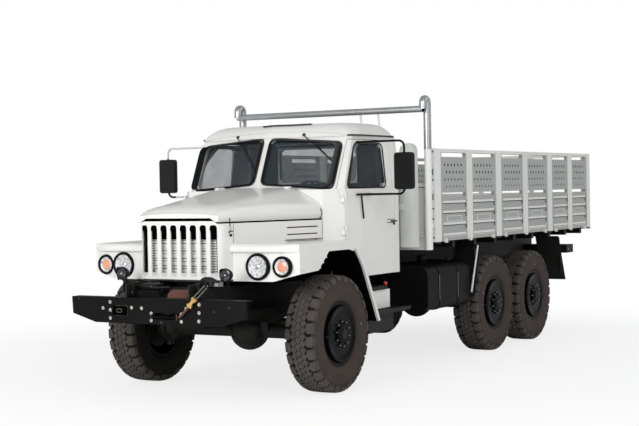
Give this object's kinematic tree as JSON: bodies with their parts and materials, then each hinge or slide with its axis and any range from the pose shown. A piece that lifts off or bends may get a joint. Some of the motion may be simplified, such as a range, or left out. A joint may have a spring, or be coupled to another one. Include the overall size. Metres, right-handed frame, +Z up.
{
  "type": "military cargo truck",
  "caption": "Bonneted off-road cargo truck with steel cab, flared front wings, winch bumper and drop-side steel load bed; it steers, and its doors, bonnet and gates open",
  "frame": {"origin": "on the ground under the middle of the truck's bounding box", "axes": "+X forwards to the bumper, +Y to the truck's left (driver's side), +Z up"},
  "size_m": [8.24, 3.088, 2.908],
  "materials": {
    "body_paint": "semi-gloss",
    "grey_paint": "semi-gloss",
    "black_paint": "satin",
    "tyre_rubber": "matte",
    "flap_rubber": "matte",
    "clear_glass": "polished",
    "lamp_chrome": "polished",
    "seat_cloth": "matte",
    "dark_plastic": "matte",
    "cast_metal": "rough painted",
    "radiator_metal": "matte"
  },
  "bodies": {
    "chassis": {"air_intake": "grey_paint", "battery_box": "black_paint", "bed_floor": "body_paint", "bed_posts": "body_paint", "bogie_axles": "cast_metal", "cab_glass": "clear_glass", "cab_shell": "body_paint", "cab_steps": "black_paint", "chassis_frame": "black_paint", "dashboard": "dark_plastic", "driveline": "cast_metal", "engine_block": "cast_metal", "exhaust": "black_paint", "front_axle": "cast_metal", "front_bumper": "black_paint", "front_wings": "body_paint", "fuel_tank": "black_paint", "headboard": "body_paint", "lamps": "lamp_chrome", "leaf_springs": "black_paint", "mudflaps": "flap_rubber", "nose_shell": "body_paint", "radiator": "radiator_metal", "rear_lamp_bars": "black_paint", "rear_shaft": "cast_metal", "seat_back": "seat_cloth", "seat_base": "black_paint", "seat_cushion": "seat_cloth", "winch": "black_paint"},
    "knuckle_left": {"knuckle_left": "cast_metal"},
    "knuckle_right": {"knuckle_right": "cast_metal"},
    "tie_rod": {"tie_rod": "black_paint"},
    "steering_wheel": {"steering_wheel": "dark_plastic"},
    "wheel_front_left": {"tyre_front_left": "tyre_rubber", "rim_front_left": "black_paint"},
    "wheel_front_right": {"tyre_front_right": "tyre_rubber", "rim_front_right": "black_paint"},
    "wheel_middle_left": {"tyre_middle_left": "tyre_rubber", "rim_middle_left": "black_paint"},
    "wheel_middle_right": {"tyre_middle_right": "tyre_rubber", "rim_middle_right": "black_paint"},
    "wheel_rear_left": {"tyre_rear_left": "tyre_rubber", "rim_rear_left": "black_paint"},
    "wheel_rear_right": {"tyre_rear_right": "tyre_rubber", "rim_rear_right": "black_paint"},
    "door_left": {"door_left": "body_paint", "door_glass_left": "clear_glass", "mirror_left": "black_paint"},
    "door_right": {"door_right": "body_paint", "door_glass_right": "clear_glass", "mirror_right": "black_paint"},
    "bonnet": {"bonnet": "body_paint"},
    "gate_front_left": {"gate_front_left": "body_paint"},
    "gate_front_right": {"gate_front_right": "body_paint"},
    "gate_middle_left": {"gate_middle_left": "body_paint"},
    "gate_middle_right": {"gate_middle_right": "body_paint"},
    "gate_rear_left": {"gate_rear_left": "body_paint"},
    "gate_rear_right": {"gate_rear_right": "body_paint"},
    "tailgate": {"tailgate": "body_paint"}
  },
  "joints": [
    {"name": "wheel_front_left_spin", "type": "hinge", "parent": "knuckle_left", "child": "wheel_front_left", "pos_m": [2.805, 1.035, 0.56], "axis": [0, 1, 0], "continuous": true},
    {"name": "wheel_front_right_spin", "type": "hinge", "parent": "knuckle_right", "child": "wheel_front_right", "pos_m": [2.805, -1.035, 0.56], "axis": [0, 1, 0], "continuous": true},
    {"name": "wheel_middle_left_spin", "type": "hinge", "parent": "chassis", "child": "wheel_middle_left", "pos_m": [-0.875, 1.035, 0.56], "axis": [0, 1, 0], "continuous": true},
    {"name": "wheel_middle_right_spin", "type": "hinge", "parent": "chassis", "child": "wheel_middle_right", "pos_m": [-0.875, -1.035, 0.56], "axis": [0, 1, 0], "continuous": true},
    {"name": "wheel_rear_left_spin", "type": "hinge", "parent": "chassis", "child": "wheel_rear_left", "pos_m": [-2.105, 1.035, 0.56], "axis": [0, 1, 0], "continuous": true},
    {"name": "wheel_rear_right_spin", "type": "hinge", "parent": "chassis", "child": "wheel_rear_right", "pos_m": [-2.105, -1.035, 0.56], "axis": [0, 1, 0], "continuous": true},
    {"name": "door_left_hinge", "type": "hinge", "parent": "chassis", "child": "door_left", "pos_m": [2.297, 0.969, 1.6], "axis": [0, 0, -1], "range_deg": [0, 70]},
    {"name": "door_right_hinge", "type": "hinge", "parent": "chassis", "child": "door_right", "pos_m": [2.297, -0.969, 1.6], "axis": [0, 0, 1], "range_deg": [0, 70]},
    {"name": "bonnet_hinge", "type": "hinge", "parent": "chassis", "child": "bonnet", "pos_m": [2.465, 0, 1.958], "axis": [0, -1, 0], "range_deg": [0, 50]},
    {"name": "gate_front_left_hinge", "type": "hinge", "parent": "chassis", "child": "gate_front_left", "pos_m": [0, 1.234, 1.337], "axis": [-1, 0, 0], "range_deg": [0, 178]},
    {"name": "gate_front_right_hinge", "type": "hinge", "parent": "chassis", "child": "gate_front_right", "pos_m": [0, -1.234, 1.337], "axis": [1, 0, 0], "range_deg": [0, 178]},
    {"name": "gate_middle_left_hinge", "type": "hinge", "parent": "chassis", "child": "gate_middle_left", "pos_m": [0, 1.234, 1.337], "axis": [-1, 0, 0], "range_deg": [0, 178]},
    {"name": "gate_middle_right_hinge", "type": "hinge", "parent": "chassis", "child": "gate_middle_right", "pos_m": [0, -1.234, 1.337], "axis": [1, 0, 0], "range_deg": [0, 178]},
    {"name": "gate_rear_left_hinge", "type": "hinge", "parent": "chassis", "child": "gate_rear_left", "pos_m": [0, 1.234, 1.337], "axis": [-1, 0, 0], "range_deg": [0, 178]},
    {"name": "gate_rear_right_hinge", "type": "hinge", "parent": "chassis", "child": "gate_rear_right", "pos_m": [0, -1.234, 1.337], "axis": [1, 0, 0], "range_deg": [0, 178]},
    {"name": "tailgate_hinge", "type": "hinge", "parent": "chassis", "child": "tailgate", "pos_m": [-4.109, 0, 1.337], "axis": [0, -1, 0], "range_deg": [0, 178]},
    {"name": "steer_left", "type": "hinge", "parent": "chassis", "child": "knuckle_left", "pos_m": [2.805, 0.82, 0.56], "axis": [0, 0, 1], "range_deg": [-30, 30]},
    {"name": "steer_right", "type": "hinge", "parent": "chassis", "child": "knuckle_right", "pos_m": [2.805, -0.82, 0.56], "axis": [0, 0, 1], "range_deg": [-30, 30]},
    {"name": "tie_rod_pivot", "type": "hinge", "parent": "knuckle_left", "child": "tie_rod", "pos_m": [2.505, 0.82, 0.47], "axis": [0, 0, 1], "range_deg": [-30, 30]},
    {"name": "steering_wheel_turn", "type": "hinge", "parent": "chassis", "child": "steering_wheel", "pos_m": [1.865, 0.43, 1.88], "axis": [-0.5736, 0, 0.8192], "range_deg": [-600, 600]}
  ],
  "couplings": [
    {"joint": "steer_right", "follows": "steer_left", "ratio": 1},
    {"joint": "tie_rod_pivot", "follows": "steer_left", "ratio": -1},
    {"joint": "steering_wheel_turn", "follows": "steer_left", "ratio": 20}
  ]
}
